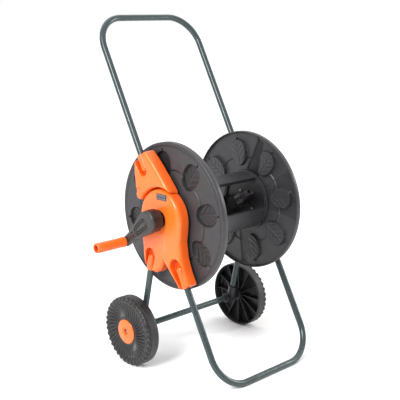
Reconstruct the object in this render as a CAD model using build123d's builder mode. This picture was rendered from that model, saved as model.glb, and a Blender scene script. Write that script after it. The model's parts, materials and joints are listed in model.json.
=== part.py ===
from build123d import *
from math import cos, radians, sin, sqrt
import os

# Garden hose reel cart: a leaning loop of steel tube split by two plastic side
# housings, a hose drum turning between them on a level axis, two rear legs down to
# a wheeled axle, and an upper handle that folds back about a pin in each housing.
#
# Millimetres. +X runs along the drum's axis, +Y to the rear (wheels and handle),
# +Z up from the floor. "left" is the crank side (-X), "right" the water inlet side.
# Side views are drawn as (distance behind the drum's axis, height above the floor).

# ---------------------------------------------------------------- driving sizes
TUBE_R = 8.0
TUBE_WALL = 1.2
LOOP_X = 160.5          # the loop's two long sides, either way from the middle
LOOP_LEAN = 28.07       # degrees from upright
LOOP_FOOT_Y = -197.0    # centreline of the foot bar, in front of the drum's axis
LOOP_LENGTH = 960.0     # foot bar to top bar along the slope
LOOP_BEND_R = 80.0
STAND_TOP = 300.0       # where the stand tube ends inside the housing, along the slope
HANDLE_START = 560.0    # where the handle tube starts inside its bracket

DRUM_Z = 390.0
FLANGE_R = 180.0
FLANGE_LIP = 4.0
LEFT_FLANGE_X = (-142.0, -126.0)
RIGHT_FLANGE_X = (114.0, 127.0)
WEB = 3.4
CORE_R = 75.0
CORE_WALL = 2.6
PANELS = 3
PANEL_ARC = 54.0
PANEL_MIDS = (87.0, 207.0, 327.0)   # degrees from the front, turning upwards

HOUSING_X = (149.0, 178.0)          # inner edge and outer face, from the middle
HOUSING_R = 72.5                    # round top of the housing, about the drum's axis
SHELL = 2.5
EDGE_R = 5.0
PIVOT = (74.0, DRUM_Z + 48.5)       # handle's fold pin in the side view
LUG_R = 15.0
EAR_R = 12.0
LUG_X = (165.5, 178.0)
SEAM_R = 74.0
PIN_R = 4.0
RUNNING = 0.05                      # radial clearance of every shaft in its bore

AXLE_R = 5.0
AXLE_Y = 93.0
AXLE_Z = 88.5
WHEEL_R = 88.5
WHEEL_X = (180.0, 215.0)
CAP_R = 31.0
CAP_OUT = 218.0
LEG_TOP = (48.4, 282.0)

BARREL_R = 28.0
CRANK_X = (-180.0, -206.0, -220.0)  # barrel foot, arm back, arm face
CRANK_THROW = 102.0
CRANK_ANGLE = -38.0                 # from the rear, in the side view
GRIP_X = (-221.5, -306.0)
GRIP_R = 12.5
BOSS_R = 20.0

# The origin sits on the floor under the middle of the whole cart's box.
MID_X = -(GRIP_X[1] + CAP_OUT) / 2
FOOT_FRONT = LOOP_FOOT_Y - TUBE_R
TOP_REAR = LOOP_FOOT_Y + LOOP_LENGTH * sin(radians(LOOP_LEAN)) + TUBE_R
DRUM_Y = -(FOOT_FRONT + TOP_REAR) / 2

os.makedirs("parts", exist_ok=True)
SIDES = ((-1, "left"), (1, "right"))


# ---------------------------------------------------------------- helpers
def side_plane(x):
    """Side view at x from the cart's middle: local x to the rear, local y up, normal +X."""
    return Plane(origin=(MID_X + x, DRUM_Y, 0), x_dir=(0, 1, 0), z_dir=(1, 0, 0))


def axis_plane(x, y, z):
    """Plane square to the drum's axis at one point, for turned pieces."""
    return Plane(origin=(MID_X + x, DRUM_Y + y, z), x_dir=(0, 1, 0), z_dir=(1, 0, 0))


def save(piece, name):
    piece.part.label = name
    export_step(piece.part, f"parts/{name}.step")


def loop_side(s):
    """Side-view place of the tube loop's centreline at distance s up the slope."""
    return (
        LOOP_FOOT_Y + s * sin(radians(LOOP_LEAN)),
        TUBE_R + s * cos(radians(LOOP_LEAN)),
    )


def rod(centre, x_from, x_to, radius, mode=Mode.ADD):
    """Round bar along X inside the open part, its centre given in the side view."""
    with BuildSketch(side_plane(min(x_from, x_to))) as disc:
        with Locations(centre):
            Circle(radius)
    extrude(disc.sketch, amount=abs(x_to - x_from), mode=mode)


def sloped_plane(side, s):
    """Plane square to the tube loop's long side at distance s up the slope."""
    y, z = loop_side(s)
    lean = radians(LOOP_LEAN)
    return Plane(
        origin=(MID_X + side * LOOP_X, DRUM_Y + y, z),
        x_dir=(1, 0, 0),
        z_dir=(0, sin(lean), cos(lean)),
    )


def leg_plane(side, along=0.0):
    """Plane square to a rear leg, measured down from the leg's top."""
    run = Vector(0, AXLE_Y - LEG_TOP[0], AXLE_Z - LEG_TOP[1]).normalized()
    top = Vector(MID_X + side * LOOP_X, DRUM_Y + LEG_TOP[0], LEG_TOP[1])
    return Plane(origin=top + run * along, x_dir=(1, 0, 0), z_dir=run)


LEG_LENGTH = sqrt((AXLE_Y - LEG_TOP[0]) ** 2 + (LEG_TOP[1] - AXLE_Z) ** 2)
ARM_END = (
    CRANK_THROW * cos(radians(CRANK_ANGLE)),
    DRUM_Z + CRANK_THROW * sin(radians(CRANK_ANGLE)),
)
AXIS = (0.0, DRUM_Z)
loop_plane = Plane(
    origin=(MID_X, DRUM_Y + LOOP_FOOT_Y, TUBE_R),
    x_dir=(1, 0, 0),
    z_dir=(0, -cos(radians(LOOP_LEAN)), sin(radians(LOOP_LEAN))),
)

# ---------------------------------------------------------------- tube frame
with BuildPart() as stand_tube:
    with BuildLine(loop_plane) as stand_path:
        FilletPolyline(
            (-LOOP_X, STAND_TOP), (-LOOP_X, 0), (LOOP_X, 0), (LOOP_X, STAND_TOP),
            radius=LOOP_BEND_R,
        )
    with BuildSketch(Plane(origin=stand_path.line @ 0, z_dir=stand_path.line % 0)):
        Circle(TUBE_R)
        Circle(TUBE_R - TUBE_WALL, mode=Mode.SUBTRACT)
    sweep(path=stand_path.line)
save(stand_tube, "stand_tube")

HANDLE_SCREW_S = HANDLE_START + 18.0
SCREW_R = 1.9
with BuildPart() as handle_tube:
    with BuildLine(loop_plane) as handle_path:
        FilletPolyline(
            (-LOOP_X, HANDLE_START), (-LOOP_X, LOOP_LENGTH),
            (LOOP_X, LOOP_LENGTH), (LOOP_X, HANDLE_START),
            radius=LOOP_BEND_R,
        )
    with BuildSketch(Plane(origin=handle_path.line @ 0, z_dir=handle_path.line % 0)):
        Circle(TUBE_R)
        Circle(TUBE_R - TUBE_WALL, mode=Mode.SUBTRACT)
    sweep(path=handle_path.line)
    for side, _ in SIDES:
        inner = side * (LOOP_X - TUBE_R - 1)
        rod(loop_side(HANDLE_SCREW_S), inner, side * LOOP_X, SCREW_R + 0.15, Mode.SUBTRACT)
save(handle_tube, "handle_tube")

LEG_FOOT_GAP = 13.0
for side, name in SIDES:
    with BuildPart() as leg:
        with BuildSketch(leg_plane(side)):
            Circle(TUBE_R)
            Circle(TUBE_R - TUBE_WALL, mode=Mode.SUBTRACT)
        extrude(amount=LEG_LENGTH - LEG_FOOT_GAP)
    save(leg, f"rear_leg_{name}")

# ---------------------------------------------------------------- axle and wheels
AXLE_END = 212.0
with BuildPart() as axle:
    rod((AXLE_Y, AXLE_Z), -AXLE_END, AXLE_END, AXLE_R)
    chamfer(axle.edges().filter_by(GeomType.CIRCLE), 0.8)
save(axle, "wheel_axle")

TEE_X = (135.0, 177.0)
TUBE_SEAT_X = 151.0     # how far out the axle tube reaches inside each bracket
with BuildPart() as axle_tube:
    rod((AXLE_Y, AXLE_Z), -TUBE_SEAT_X, TUBE_SEAT_X, TUBE_R)
    rod((AXLE_Y, AXLE_Z), -TUBE_SEAT_X, TUBE_SEAT_X, TUBE_R - TUBE_WALL, Mode.SUBTRACT)
save(axle_tube, "axle_tube")

TEE_R = 12.0
TEE_UP = 34.0
for side, name in SIDES:
    with BuildPart() as tee:
        rod((AXLE_Y, AXLE_Z), side * TEE_X[0], side * TEE_X[1], TEE_R)
        with BuildSketch(leg_plane(side, LEG_LENGTH - TEE_UP)):
            Circle(TEE_R)
        extrude(amount=TEE_UP)
        with BuildSketch(leg_plane(side, LEG_LENGTH - TEE_UP)):
            Circle(TEE_R + 1.2)
        extrude(amount=6)
        rod((AXLE_Y, AXLE_Z), side * (TEE_X[0] - 1), side * (TEE_X[1] + 1),
            AXLE_R + RUNNING, Mode.SUBTRACT)
        rod((AXLE_Y, AXLE_Z), side * (TEE_X[0] - 1), side * (TUBE_SEAT_X + 0.1),
            TUBE_R + RUNNING, Mode.SUBTRACT)
        with BuildSketch(leg_plane(side, LEG_LENGTH - TEE_UP - 1)):
            Circle(TUBE_R + RUNNING)
        extrude(amount=TEE_UP + 1 - LEG_FOOT_GAP, mode=Mode.SUBTRACT)
    save(tee, f"axle_bracket_{name}")

WASHER = 1.6
with BuildPart() as washers:
    for side, _ in SIDES:
        near = side * (TEE_X[1] + 0.5)
        rod((AXLE_Y, AXLE_Z), near, near + side * WASHER, 10.0)
        rod((AXLE_Y, AXLE_Z), near, near + side * WASHER, AXLE_R + 0.2, Mode.SUBTRACT)
save(washers, "axle_washers")

NUT_X = 208.5
with BuildPart() as push_nuts:
    for side, _ in SIDES:
        rod((AXLE_Y, AXLE_Z), side * NUT_X, side * (NUT_X + 1.2), 9.0)
        rod((AXLE_Y, AXLE_Z), side * NUT_X, side * (NUT_X + 1.2), AXLE_R + 0.02, Mode.SUBTRACT)
save(push_nuts, "axle_push_nuts")

TREAD_WALL = 4.5
FACE_X = 210.0          # outer face of the wheel's disc
FACE_WALL = 3.5
HUB_R = 15.0
HUB_POCKET_X = 207.5
WHEEL_RIBS = 12
FACE_GROOVES = 24
for side, name in SIDES:
    with BuildPart() as wheel:
        # half section: local x is the radius, local y the distance from the middle
        with BuildSketch(
            Plane(
                origin=(MID_X, DRUM_Y + AXLE_Y, AXLE_Z),
                x_dir=(0, 1, 0),
                z_dir=(0, 0, -side),
            )
        ):
            with BuildLine():
                Polyline(
                    (AXLE_R + RUNNING + 0.01, WHEEL_X[0]),
                    (HUB_R, WHEEL_X[0]),
                    (HUB_R, FACE_X - FACE_WALL - 4),
                    (CAP_R, FACE_X - FACE_WALL - 3),
                    (WHEEL_R - TREAD_WALL - 2, FACE_X - FACE_WALL),
                    (WHEEL_R - TREAD_WALL, WHEEL_X[0] + 2),
                    (WHEEL_R - 3, WHEEL_X[0]),
                    (WHEEL_R, WHEEL_X[0] + 3),
                    (WHEEL_R, WHEEL_X[1] - 8),
                    (WHEEL_R - 3, WHEEL_X[1] - 2),
                    (WHEEL_R - 8, WHEEL_X[1]),
                    (WHEEL_R - 16, WHEEL_X[1] - 1),
                    (WHEEL_R - 20, FACE_X),
                    (CAP_R + 6, FACE_X),
                    (CAP_R + 1, FACE_X + 3),
                    (CAP_R - 1.5, FACE_X + 3),
                    (CAP_R - 1.5, HUB_POCKET_X),
                    (AXLE_R + RUNNING + 0.01, HUB_POCKET_X),
                    close=True,
                )
            make_face()
        revolve(
            axis=Axis((MID_X, DRUM_Y + AXLE_Y, AXLE_Z), (1, 0, 0)),
            revolution_arc=360,
        )
        back = side * (WHEEL_X[0] + 4)
        with BuildSketch(axis_plane(back, AXLE_Y, AXLE_Z)):
            with PolarLocations(0, WHEEL_RIBS):
                with Locations(((HUB_R + WHEEL_R - TREAD_WALL) / 2, 0)):
                    Rectangle(WHEEL_R - TREAD_WALL - HUB_R + 2, 2.4)
        extrude(amount=side * (FACE_X - FACE_WALL - 4 - WHEEL_X[0] - 3))
        with BuildSketch(axis_plane(side * (FACE_X - 0.9), AXLE_Y, AXLE_Z)):
            with PolarLocations(0, FACE_GROOVES):
                with Locations((CAP_R + 20, 0)):
                    Rectangle(26, 2.2)
        extrude(amount=side * 3, mode=Mode.SUBTRACT)
    save(wheel, f"wheel_{name}")

    with BuildPart() as cap:
        rod((AXLE_Y, AXLE_Z), side * (FACE_X + 3.2), side * CAP_OUT, CAP_R)
        chamfer(cap.faces().sort_by(Axis.X)[-1 if side > 0 else 0].edges(), 2.0)
        rod((AXLE_Y, AXLE_Z), side * (FACE_X - 2), side * (FACE_X + 3.2), CAP_R - 1.6)
        rod((AXLE_Y, AXLE_Z), side * (FACE_X - 3), side * (FACE_X + 2.5), CAP_R - 4, Mode.SUBTRACT)
        rod((AXLE_Y, AXLE_Z), side * (FACE_X - 3), side * (CAP_OUT + 1), 8.0, Mode.SUBTRACT)
    save(cap, f"wheel_cap_{name}")

# ---------------------------------------------------------------- side housings
WAIST_Y = -67.0
SOCKET_FRONT = ((-98.0, 248.0), (-62.0, 229.0))
SOCKET_REAR = ((24.0, 249.0), (68.0, 255.0))
NOTCH_TOP = (-8.0, 287.0)
CORNER_R = 4.0


def housing_outline(inset=0.0):
    """Closed side-view outline of the housing body, drawn inside an open sketch."""
    with BuildSketch(mode=Mode.PRIVATE) as shape:
        with BuildLine() as edge:
            top = ThreePointArc((HOUSING_R, DRUM_Z), (0, DRUM_Z + HOUSING_R), (-HOUSING_R, DRUM_Z))
            waist = ThreePointArc(top @ 1, (-70.8, 366), (WAIST_Y, 343))
            flare = ThreePointArc(waist @ 1, (-74, 294), SOCKET_FRONT[0])
            foot = Line(flare @ 1, SOCKET_FRONT[1])
            inside = Line(foot @ 1, NOTCH_TOP)
            boot = ThreePointArc(inside @ 1, (3, 264), SOCKET_REAR[0])
            heel = Line(boot @ 1, SOCKET_REAR[1])
            back = Line(heel @ 1, (HOUSING_R - 0.5, 310))
            Line(back @ 1, top @ 0)
        make_face(edge.edges())
        sharp = (*SOCKET_FRONT, NOTCH_TOP, *SOCKET_REAR)
        corners = [v for v in shape.vertices() if any(abs(v.X - y) + abs(v.Y - z) < 1 for y, z in sharp)]
        fillet(corners, CORNER_R)
        if inset:
            offset(amount=-inset, kind=Kind.ARC)
    add(shape.sketch)


def tube_passages(side):
    """Cut the room for the stand tube and the rear leg in the open part."""
    with BuildSketch(sloped_plane(side, STAND_TOP - 110)) as stand_hole:
        Circle(TUBE_R + 0.15)
    extrude(stand_hole.sketch, amount=111, mode=Mode.SUBTRACT)
    with BuildSketch(leg_plane(side, -1)) as leg_hole:
        Circle(TUBE_R + 0.15)
    extrude(leg_hole.sketch, amount=80, mode=Mode.SUBTRACT)


COVER_POSTS = ((-50, 345), (50, 345), (-44, 428), (44, 428))
POST_R = 4.5
NECK_HALF = 6.0
for side, name in SIDES:
    inner, outer = (side * x for x in HOUSING_X)
    with BuildPart() as cover:
        with BuildSketch(side_plane(inner)):
            housing_outline()
        extrude(amount=outer - inner)
        outside = cover.faces().filter_by(Axis.X).sort_by(Axis.X)[-1 if side > 0 else 0]
        fillet(outside.edges(), EDGE_R)
        with BuildSketch(side_plane(inner)):
            housing_outline(SHELL)
        extrude(amount=outer - inner - side * SHELL, mode=Mode.SUBTRACT)
        # ear that carries the handle's fold pin, behind the bracket's lug
        with BuildSketch(side_plane(inner)):
            with Locations(PIVOT):
                Circle(EAR_R)
            with BuildLine():
                reach = Vector(PIVOT[0], PIVOT[1] - DRUM_Z)
                across = reach.normalized().rotate(Axis.Z, 90) * NECK_HALF
                root = reach.normalized() * (HOUSING_R - SHELL)
                lift = Vector(0, DRUM_Z)
                Polyline(
                    lift + root + across, lift + reach + across,
                    lift + reach - across, lift + root - across,
                    close=True,
                )
            make_face()
        extrude(amount=side * (LUG_X[0] - 0.6) - inner)
        rod(PIVOT, inner - side, side * LUG_X[0], PIN_R + 0.02, Mode.SUBTRACT)
        for post in COVER_POSTS:
            rod(post, inner + side * 4, outer - side * 1, POST_R)
            rod(post, inner + side * 3, outer - side * 8, 1.5, Mode.SUBTRACT)
        # collar round the hub's opening
        rod(AXIS, outer, outer - side * 8, BOSS_R + 5)
        rod(AXIS, outer + side, outer - side * 9, BOSS_R + 1, Mode.SUBTRACT)
        tube_passages(side)
    save(cover, f"side_cover_{name}")

    with BuildPart() as plate:
        with BuildSketch(side_plane(inner + side * 0.2)):
            housing_outline(SHELL + 0.3)
            with Locations(AXIS):
                Circle(BOSS_R + 2.6, mode=Mode.SUBTRACT)
            with Locations(*COVER_POSTS):
                Circle(1.8, mode=Mode.SUBTRACT)
        extrude(amount=side * 2.8)
        rod(AXIS, inner + side * 0.2, inner + side * 14, BOSS_R + 6)
        rod(AXIS, inner - side, inner + side * 15, BOSS_R + 2.6, Mode.SUBTRACT)
    save(plate, f"side_plate_{name}")

    with BuildPart() as bush:
        rod(AXIS, inner - side * 2.2, inner + side * 15, BOSS_R + 2.5)
        rod(AXIS, inner - side * 2.2, inner, BOSS_R + 6)
        rod(AXIS, inner - side * 3, inner + side * 16, BOSS_R + RUNNING, Mode.SUBTRACT)
    save(bush, f"hub_bush_{name}")

with BuildPart() as cover_screws:
    for side, _ in SIDES:
        inner = side * HOUSING_X[0]
        for post in COVER_POSTS:
            rod(post, inner - side * 1.6, inner + side * 0.15, 3.4)
            rod(post, inner + side * 0.15, inner + side * 14, 1.45)
save(cover_screws, "cover_screws")

BADGE = (-10.0, DRUM_Z + 55)
for side, name in SIDES:
    outer = side * HOUSING_X[1]
    with BuildPart() as badge:
        with BuildSketch(side_plane(outer)):
            with Locations(Location(BADGE, -4)):
                RectangleRounded(38, 17, 3)
        extrude(amount=side * 1.0)
        with BuildSketch(side_plane(outer + side * 0.4)):
            with Locations(Location(BADGE, -4)):
                with GridLocations(6, 0, 5, 1):
                    Rectangle(2, 11)
        extrude(amount=side * 1.0, mode=Mode.SUBTRACT)
    save(badge, f"badge_{name}")

# ---------------------------------------------------------------- folding handle
LUG_TOUCH = radians(-5)  # where the bracket's rear edge runs onto the lug
BRACKET = (
    (-38, 449), (-33, 462), (46, 546), (62, 543), (84, 532), (96, 518),
    (PIVOT[0] + LUG_R * cos(LUG_TOUCH), PIVOT[1] + LUG_R * sin(LUG_TOUCH)),
    PIVOT, (20, DRUM_Z + 10),
)
BRACKET_EDGE_R = 2.5
SWEEP_R = 18.0          # room that the ear and its neck need as the handle folds


def bracket_outline(inset=0.0):
    """Side-view outline of the handle bracket, drawn inside an open sketch."""
    with BuildLine() as edge:
        Polyline(*BRACKET, close=True)
    make_face(edge.edges())
    with Locations(PIVOT):
        Circle(LUG_R)
    with Locations(AXIS):
        Circle(SEAM_R, mode=Mode.SUBTRACT)
    if inset:
        offset(amount=-inset, kind=Kind.INTERSECTION)


for side, name in SIDES:
    inner, outer = (side * x for x in HOUSING_X)
    with BuildPart() as bracket:
        with BuildSketch(side_plane(inner)):
            bracket_outline()
        extrude(amount=outer - inner)
        outside = bracket.faces().filter_by(Axis.X).sort_by(Axis.X)[-1 if side > 0 else 0]
        fillet(outside.edges(), BRACKET_EDGE_R)
        with BuildSketch(side_plane(inner + side * 1)):
            bracket_outline(SHELL)
            with Locations(PIVOT):
                Circle(SWEEP_R + SHELL, mode=Mode.SUBTRACT)
        extrude(amount=outer - inner - side * (SHELL + 1), mode=Mode.SUBTRACT)
        # inner side closed by a thin web except at the fold pin
        rod(PIVOT, inner - side, side * LUG_X[0], SWEEP_R, Mode.SUBTRACT)
        rod(PIVOT, side * (LUG_X[0] - 0.5), outer - side * 2.5, PIN_R + RUNNING, Mode.SUBTRACT)
        # socket block that grips the tube's end
        with BuildSketch(sloped_plane(side, HANDLE_START + 4)):
            Circle(TUBE_R + 2.2)
        extrude(amount=28)
        with BuildSketch(sloped_plane(side, HANDLE_START - 2)):
            Circle(TUBE_R + RUNNING)
        extrude(amount=110, mode=Mode.SUBTRACT)
        rod(loop_side(HANDLE_SCREW_S), inner - side, inner + side * 5, SCREW_R + 0.15,
            Mode.SUBTRACT)
    save(bracket, f"handle_bracket_{name}")

    with BuildPart() as pin:
        rod(PIVOT, inner - side * 0.2, outer - side * 3, PIN_R)
        rod(PIVOT, inner - side * 2.2, inner - side * 0.2, 7.0)
    save(pin, f"handle_pin_{name}")

with BuildPart() as handle_screws:
    for side, _ in SIDES:
        inner = side * HOUSING_X[0]
        rod(loop_side(HANDLE_SCREW_S), inner - side * 2, inner - side * 0.05, 3.8)
        rod(loop_side(HANDLE_SCREW_S), inner - side * 0.05, side * (LOOP_X - 2), SCREW_R)
save(handle_screws, "handle_screws")

# ---------------------------------------------------------------- hose drum
LEAVES = 8
LEAF_LONG = 68.0
LEAF_WIDE = 52.0
LEAF_AT = 125.0
LEAF_DEPTH = 6.0
LEAF_WALL = 2.4
SPOKE_START = 11.0


def ring(x, outer_r, inner_r):
    """Flat ring about the drum's axis."""
    with BuildSketch(axis_plane(x, 0, DRUM_Z), mode=Mode.PRIVATE) as flat:
        Circle(outer_r)
        Circle(inner_r, mode=Mode.SUBTRACT)
    return flat.sketch


def leaves(x, inset=0.0):
    """Eight leaf shapes round the drum's axis, each the overlap of two equal circles."""
    half = LEAF_LONG / 2 - inset
    rise = LEAF_WIDE / 2 - inset
    bow_r = (half * half + rise * rise) / (2 * rise)
    with BuildSketch(mode=Mode.PRIVATE) as leaf:
        with Locations((rise - bow_r, 0)):
            Circle(bow_r)
        with Locations((bow_r - rise, 0)):
            Circle(bow_r, mode=Mode.INTERSECT)
    with BuildSketch(axis_plane(x, 0, DRUM_Z), mode=Mode.PRIVATE) as flat:
        with PolarLocations(LEAF_AT, LEAVES, start_angle=SPOKE_START):
            add(leaf.sketch)
    return flat.sketch


def make_flange(x_low, x_high, web_low, name):
    """Drum flange: thin web, turned-over rim, socket rings for the core panels."""
    with BuildPart() as flange:
        disc = ring(web_low, FLANGE_R, BOSS_R - 6)
        extrude(disc, amount=WEB)
        rim = ring(x_low, FLANGE_R, FLANGE_R - FLANGE_LIP)
        extrude(rim, amount=x_high - x_low)
        # paired rings on the hose side hold the ends of the core panels
        hose_side = web_low + WEB if web_low < 0 else web_low
        reach = 7 if web_low < 0 else -7
        for low, high in ((CORE_R - CORE_WALL - 2.4, CORE_R - CORE_WALL - 0.1),
                          (CORE_R + 0.1, CORE_R + 3)):
            extrude(ring(hose_side, high, low), amount=reach)
        # leaves pressed through the web: hollow outside, standing out on the hose side
        outside = web_low if web_low < 0 else web_low + WEB
        press = LEAF_DEPTH if web_low < 0 else -LEAF_DEPTH
        extrude(leaves(hose_side), amount=press)
        extrude(leaves(outside, LEAF_WALL), amount=press, mode=Mode.SUBTRACT)
        with BuildSketch(axis_plane(web_low - 1, 0, DRUM_Z)) as screw_holes:
            with PolarLocations(30, 4, start_angle=45):
                Circle(1.8)
        extrude(screw_holes.sketch, amount=WEB + 2, mode=Mode.SUBTRACT)
    save(flange, name)


LEFT_WEB = LEFT_FLANGE_X[0] + 1.2
RIGHT_WEB = RIGHT_FLANGE_X[1] - 1.2 - WEB
make_flange(*LEFT_FLANGE_X, LEFT_WEB, "flange_left")
make_flange(*RIGHT_FLANGE_X, RIGHT_WEB, "flange_right")

PANEL_X = (LEFT_WEB + WEB + 0.1, RIGHT_WEB - 0.1)
for number, mid in enumerate(PANEL_MIDS, start=1):
    with BuildPart() as panel:
        with BuildSketch(axis_plane(PANEL_X[0], 0, DRUM_Z)):
            with BuildLine():
                # the side view's rear is 0 degrees, so the front is 180
                start = 180 - mid - PANEL_ARC / 2
                CenterArc((0, 0), CORE_R, start, PANEL_ARC)
                inside = CenterArc((0, 0), CORE_R - CORE_WALL, start, PANEL_ARC)
                for end in (start, start + PANEL_ARC):
                    PolarLine(
                        (
                            (CORE_R - CORE_WALL) * cos(radians(end)),
                            (CORE_R - CORE_WALL) * sin(radians(end)),
                        ),
                        CORE_WALL, end,
                    )
            make_face()
        extrude(amount=PANEL_X[1] - PANEL_X[0])
    save(panel, f"core_panel_{number}")

HUB_PLATE_R = 38.0
WATER_R = 10.0
HUB_ENDS = {"left": (LEFT_WEB, -176.0), "right": (RIGHT_WEB + WEB, 176.0)}
for side, name in SIDES:
    face, end = HUB_ENDS[name]
    with BuildPart() as hub:
        rod(AXIS, face, face + side * 3.5, HUB_PLATE_R)
        rod(AXIS, face, end, BOSS_R)
        if name == "left":
            # square socket for the crank, blind towards the drum
            with BuildSketch(side_plane(-160)):
                with Locations(AXIS):
                    Rectangle(20.2, 20.2)
            extrude(amount=-20, mode=Mode.SUBTRACT)
            rod(AXIS, -161, -148, 2.4, Mode.SUBTRACT)
        else:
            rod(AXIS, face - 1, end + 1, WATER_R + RUNNING, Mode.SUBTRACT)
        with BuildSketch(side_plane(min(face, face + side * 3.5) - 1)):
            with Locations(AXIS):
                with PolarLocations(30, 4, start_angle=45):
                    Circle(1.8)
        extrude(amount=6, mode=Mode.SUBTRACT)
    save(hub, f"drum_hub_{name}")

with BuildPart() as hub_screws:
    for side, name in SIDES:
        face = HUB_ENDS[name][0]
        with BuildSketch(side_plane(face - side * (WEB + 2.1))):
            with Locations(AXIS):
                with PolarLocations(30, 4, start_angle=45):
                    Circle(3.4)
        extrude(amount=side * 2)
        with BuildSketch(side_plane(face - side * (WEB + 0.1))):
            with Locations(AXIS):
                with PolarLocations(30, 4, start_angle=45):
                    Circle(1.7)
        extrude(amount=side * (WEB + 3.4))
save(hub_screws, "hub_screws")

# ---------------------------------------------------------------- water way
ELBOW_X = 78.0
with BuildPart() as outlet:
    rod(AXIS, RIGHT_WEB - 0.2, ELBOW_X - 13, 15.0)
    tilt = radians(34)
    outward = Vector(0, -cos(tilt), sin(tilt))
    centre = Vector(MID_X + ELBOW_X, DRUM_Y, DRUM_Z)
    with BuildSketch(Plane(origin=centre, x_dir=(1, 0, 0), z_dir=outward)):
        Circle(12.5)
    extrude(amount=38)
    rod(AXIS, RIGHT_WEB + 1, ELBOW_X, WATER_R - 2, Mode.SUBTRACT)
    with BuildSketch(Plane(origin=centre, x_dir=(1, 0, 0), z_dir=outward)):
        Circle(6.5)
    extrude(amount=39, mode=Mode.SUBTRACT)
save(outlet, "outlet_elbow")

with BuildPart() as nipple:
    with BuildSketch(Plane(origin=centre + outward * 38.1, x_dir=(1, 0, 0), z_dir=outward)):
        Circle(11)
    extrude(amount=6)
    with BuildSketch(Plane(origin=centre + outward * 44, x_dir=(1, 0, 0), z_dir=outward)):
        Circle(8.2)
    extrude(amount=18)
    with BuildSketch(Plane(origin=centre + outward * 38, x_dir=(1, 0, 0), z_dir=outward)):
        Circle(5)
    extrude(amount=25, mode=Mode.SUBTRACT)
save(nipple, "outlet_nipple")

INLET_X = 193.0
INLET_R = 12.0
SPOUT_DROP = 34.0
SPOUT_TILT = 25.0       # degrees forward of straight down, so a connector clears the wheel
spout_run = Vector(0, -sin(radians(SPOUT_TILT)), -cos(radians(SPOUT_TILT)))
elbow_centre = Vector(MID_X + INLET_X, DRUM_Y, DRUM_Z)


def spout_plane(along):
    """Plane square to the inlet spout at a distance from the elbow's centre."""
    return Plane(origin=elbow_centre + spout_run * along, x_dir=(1, 0, 0), z_dir=spout_run)


with BuildPart() as inlet:
    rod(AXIS, RIGHT_WEB + WEB + 3, HOUSING_X[1] + 0.5, WATER_R)
    rod(AXIS, HOUSING_X[1] + 0.5, INLET_X, INLET_R)
    with BuildSketch(spout_plane(0)):
        Circle(INLET_R - 0.5)
    extrude(amount=SPOUT_DROP)
    with Locations(Location(elbow_centre)):
        Sphere(INLET_R + 0.5)
    rod(AXIS, RIGHT_WEB, INLET_X, 6.0, Mode.SUBTRACT)
    with BuildSketch(spout_plane(0)):
        Circle(5.6)
    extrude(amount=SPOUT_DROP + 1, mode=Mode.SUBTRACT)
    with Locations(Location(elbow_centre)):
        Sphere(6.6, mode=Mode.SUBTRACT)
    for groove in (136.0, 144.0):
        with BuildSketch(side_plane(groove)):
            with Locations(AXIS):
                Circle(WATER_R + 1)
                Circle(WATER_R - 2.2, mode=Mode.SUBTRACT)
        extrude(amount=2.6, mode=Mode.SUBTRACT)
save(inlet, "inlet_elbow")

with BuildPart() as seals:
    for groove in (136.0, 144.0):
        with BuildSketch(
            Plane(
                origin=(MID_X + groove + 1.3, DRUM_Y, DRUM_Z),
                x_dir=(1, 0, 0), z_dir=(0, -1, 0),
            )
        ):
            with Locations((0, WATER_R - 1.1)):
                Circle(1.05)
        revolve(axis=Axis((MID_X, DRUM_Y, DRUM_Z), (1, 0, 0)))
save(seals, "inlet_seals")

SPOUT_R = 8.5
with BuildPart() as spout:
    with BuildSketch(spout_plane(SPOUT_DROP + 0.1)):
        Circle(13.5)
    extrude(amount=8)
    with BuildSketch(spout_plane(SPOUT_DROP + 8.1)):
        Circle(SPOUT_R)
    extrude(amount=20)
    with BuildSketch(spout_plane(SPOUT_DROP - 1)):
        Circle(5)
    extrude(amount=30, mode=Mode.SUBTRACT)
save(spout, "inlet_nipple")

# ---------------------------------------------------------------- crank
with BuildPart() as crank:
    rod(AXIS, CRANK_X[0], CRANK_X[1], BARREL_R)
    with BuildSketch(side_plane(CRANK_X[2])):
        with Locations(AXIS):
            Circle(BARREL_R)
        with Locations(ARM_END):
            Circle(13)
        make_hull()
    extrude(amount=CRANK_X[1] - CRANK_X[2])
    chamfer(crank.faces().filter_by(Axis.X).sort_by(Axis.X)[0].edges(), 2.0)
    with BuildSketch(side_plane(-161)):
        with Locations(AXIS):
            Rectangle(20, 20)
    extrude(amount=CRANK_X[0] + 161)
    rod(AXIS, CRANK_X[2] - 1, -160, 2.4, Mode.SUBTRACT)
    rod(AXIS, CRANK_X[2] - 1, CRANK_X[2] + 5, 6.0, Mode.SUBTRACT)
    rod(ARM_END, CRANK_X[2] - 1, CRANK_X[1] + 1, PIN_R + 0.02, Mode.SUBTRACT)
save(crank, "crank_arm")

with BuildPart() as crank_screw:
    rod(AXIS, CRANK_X[2] + 1.5, CRANK_X[2] + 4.9, 5.6)
    rod(AXIS, CRANK_X[2] + 4.9, -150, 2.3)
    with BuildSketch(side_plane(CRANK_X[2] + 1.5)):
        with Locations(AXIS):
            Rectangle(8, 1.4)
            Rectangle(1.4, 8)
    extrude(amount=1.8, mode=Mode.SUBTRACT)
save(crank_screw, "crank_screw")

GRIP_MOUTH = 22.0
with BuildPart() as grip_pin:
    rod(ARM_END, CRANK_X[1] - 0.5, GRIP_X[1] + GRIP_MOUTH - 2.2, PIN_R)
    rod(ARM_END, GRIP_X[1] + GRIP_MOUTH - 0.6, GRIP_X[1] + GRIP_MOUTH - 5, 6.5)
save(grip_pin, "grip_pin")

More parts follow.
